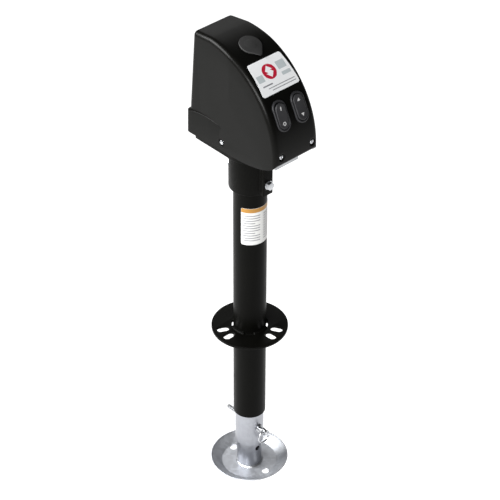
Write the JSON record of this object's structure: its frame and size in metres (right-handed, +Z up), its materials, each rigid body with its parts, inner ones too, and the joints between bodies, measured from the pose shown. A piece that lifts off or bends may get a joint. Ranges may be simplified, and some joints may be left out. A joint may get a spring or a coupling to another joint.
{
  "type": "tongue jack stand",
  "caption": "Electric trailer tongue jack: switch head on a flanged tube, screw-driven ram, pinned drop leg and dished foot.",
  "frame": {"origin": "centre of the foot's underside, on the axis of the column", "axes": "+Z up along the column, -Y towards the switches, +X to the right of somebody who faces the switches"},
  "size_m": [0.14, 0.2146, 0.89],
  "materials": {
    "black_powder_coat": "satin black powder coat",
    "black_casting": "black paint on a casting",
    "printed_label": "printed film",
    "face_label": "printed film",
    "black_cover": "moulded, half gloss",
    "rubber_plug": "matt",
    "rubber_grommet": "matt",
    "switch_frame": "matt",
    "switch_rubber": "matt",
    "switch_body": "matt",
    "terminal_brass": "plain",
    "bright_zinc": "bright zinc plate",
    "steel": "machined",
    "bronze": "machined bronze",
    "motor_paint": "satin",
    "gearhead_alloy": "die cast",
    "galvanised_plate": "zinc plate",
    "zinc_tube": "zinc plate, satin",
    "zinc_foot": "zinc plate, satin",
    "nylon": "natural nylon",
    "pin_steel": "bright zinc plate"
  },
  "bodies": {
    "root": {"outer_tube": "black_powder_coat", "mounting_flange": "black_powder_coat", "flange_welds": "black_powder_coat", "tube_label": "printed_label", "gearcase_lower": "black_casting", "neck_bolts": "bright_zinc", "neck_washers": "bright_zinc", "gearcase_lid": "black_casting", "gearcase_screws": "bright_zinc", "thrust_balls": "steel", "thrust_race_upper": "steel", "screw_bush": "bronze", "lid_bush": "bronze", "motor_gearhead": "gearhead_alloy", "motor_can": "motor_paint", "motor_end_cap": "switch_body", "motor_terminals": "terminal_brass", "motor_screws": "bright_zinc", "chassis_plate": "galvanised_plate", "cover": "black_cover", "front_screws": "bright_zinc", "side_screws": "bright_zinc", "label_plate": "face_label", "lead_grommet": "rubber_grommet", "circuit_breaker": "switch_body", "power_switch_bezel": "switch_frame", "power_switch_pin": "steel", "power_switch_body": "switch_body", "direction_switch_bezel": "switch_frame", "direction_switch_pin": "steel", "direction_switch_body": "switch_body", "switch_terminals": "terminal_brass"},
    "screw": {"lead_screw": "steel", "thrust_race_lower": "steel", "output_gear": "steel", "gear_key": "steel", "gear_lock_nut": "steel", "override_shaft": "steel", "override_roll_pin": "steel"},
    "pinion": {"motor_pinion": "steel"},
    "ram": {"ram_tube": "zinc_tube", "ram_nut": "bronze", "ram_guide_ring": "nylon"},
    "leg": {"drop_leg": "zinc_tube", "foot_plate": "zinc_foot", "foot_weld": "zinc_tube"},
    "pin": {"pull_pin": "pin_steel"},
    "ring": {"pull_ring": "pin_steel"},
    "plug": {"override_plug": "rubber_plug"},
    "power_rocker": {"power_switch_rocker": "switch_rubber"},
    "direction_rocker": {"direction_switch_rocker": "switch_rubber"}
  },
  "joints": [
    {"name": "lead_screw_turn", "type": "hinge", "parent": "root", "child": "screw", "pos_m": [0, 0, 0.66], "axis": [0, 0, 1], "range_deg": [0, 25200.5]},
    {"name": "motor_pinion_turn", "type": "hinge", "parent": "root", "child": "pinion", "pos_m": [0, 0.045, 0.7], "axis": [0, 0, 1], "range_deg": [-75601.5, 0]},
    {"name": "ram_slide", "type": "slide", "parent": "root", "child": "ram", "axis": [0, 0, -1], "range_m": [0, 0.3556]},
    {"name": "drop_leg_slide", "type": "slide", "parent": "ram", "child": "leg", "axis": [0, 0, -1], "range_m": [-0.0508, 0.1016]},
    {"name": "pull_pin_slide", "type": "slide", "parent": "ram", "child": "pin", "axis": [0, -1, 0], "range_m": [0, 0.09]},
    {"name": "pull_ring_swing", "type": "hinge", "parent": "pin", "child": "ring", "pos_m": [0, -0.038, 0.0953], "axis": [-1, 0, 0], "range_deg": [-20, 150]},
    {"name": "override_plug_lift", "type": "slide", "parent": "root", "child": "plug", "axis": [0, -0.309, 0.9511], "range_m": [0, 0.04]},
    {"name": "power_switch_rock", "type": "hinge", "parent": "root", "child": "power_rocker", "pos_m": [-0.0196, -0.08686, 0.80013], "axis": [1, 0, 0], "range_deg": [-10, 0]},
    {"name": "direction_switch_rock", "type": "hinge", "parent": "root", "child": "direction_rocker", "pos_m": [0.0196, -0.08686, 0.80013], "axis": [1, 0, 0], "range_deg": [-5, 5], "stiffness_Nm_per_rad": 0.5}
  ],
  "couplings": [
    {"joint": "lead_screw_turn", "follows": "ram_slide", "rad_per_m": 1236.8},
    {"joint": "motor_pinion_turn", "follows": "ram_slide", "rad_per_m": -3710.5}
  ]
}
